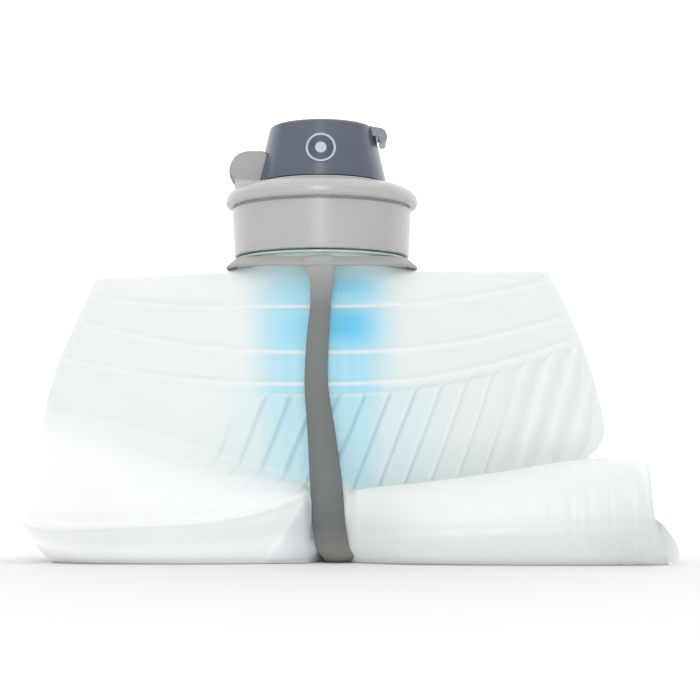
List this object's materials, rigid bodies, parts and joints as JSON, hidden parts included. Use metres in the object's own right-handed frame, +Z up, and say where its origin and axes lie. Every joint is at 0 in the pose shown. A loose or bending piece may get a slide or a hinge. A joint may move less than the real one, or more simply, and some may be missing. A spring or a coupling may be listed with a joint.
{
  "type": "folding water bottle",
  "caption": "Soft folding water bottle, packed: translucent pouch rolled under its filter, held by a rubber strap, with a screw cap and hinged flip cover.",
  "frame": {"origin": "on the floor that the packed bottle rests on, straight below the neck's axis", "axes": "+Z up along the neck and screw axis, +X along the roll away from the cover's hinge, -Y towards the face that the strap crosses"},
  "size_m": [0.1687, 0.0605, 0.1143],
  "materials": {
    "clear_plastic": "clear, slightly teal",
    "film": "translucent milky film, satin",
    "strap_rubber": "matt grey rubber",
    "silicone": "soft white silicone",
    "cap_plastic": "light grey, satin",
    "pin_steel": "bright",
    "cover_plastic": "slate, semi-gloss",
    "badge_plastic": "light grey, satin",
    "filter_white": "white",
    "o_ring_rubber": "black",
    "filter_blue": "bright blue",
    "resin": "cast resin",
    "fibre": "white hollow fibres",
    "screen": "fine woven screen"
  },
  "bodies": {
    "bottle": {"neck_finish": "clear_plastic", "neck_thread": "clear_plastic", "film_front": "film", "film_back": "film", "film_roll": "film", "base_panel": "film", "collar_ring": "strap_rubber", "carry_strap": "strap_rubber"},
    "gasket": {"cap_gasket": "silicone"},
    "cap": {"cap_base": "cap_plastic", "cap_thread": "cap_plastic", "spout": "silicone", "hinge_pin": "pin_steel"},
    "cover": {"flip_cover": "cover_plastic", "cover_plug": "silicone", "badge": "badge_plastic"},
    "filter": {"filter_head": "filter_white", "head_o_ring": "o_ring_rubber", "filter_housing": "filter_blue", "potting_disc": "resin", "fibre_bundle": "fibre", "inlet_screen": "screen", "filter_end_cap": "filter_blue"}
  },
  "joints": [
    {"name": "cap_rise", "type": "slide", "parent": "bottle", "child": "gasket", "axis": [0, 0, 1], "range_m": [0, 0.0061]},
    {"name": "cap_unscrew", "type": "hinge", "parent": "gasket", "child": "cap", "pos_m": [0, 0, 0.085], "axis": [0, 0, 1], "range_deg": [0, 540]},
    {"name": "cover_flip", "type": "hinge", "parent": "cap", "child": "cover", "pos_m": [-0.0194, 0, 0.1024], "axis": [0, -1, 0], "range_deg": [0, 130]},
    {"name": "filter_twist", "type": "hinge", "parent": "cap", "child": "filter", "pos_m": [0, 0, 0.09], "axis": [0, 0, 1], "range_deg": [0, 65]}
  ],
  "couplings": [
    {"joint": "cap_rise", "follows": "cap_unscrew", "m_per_rad": 0.00063662}
  ]
}
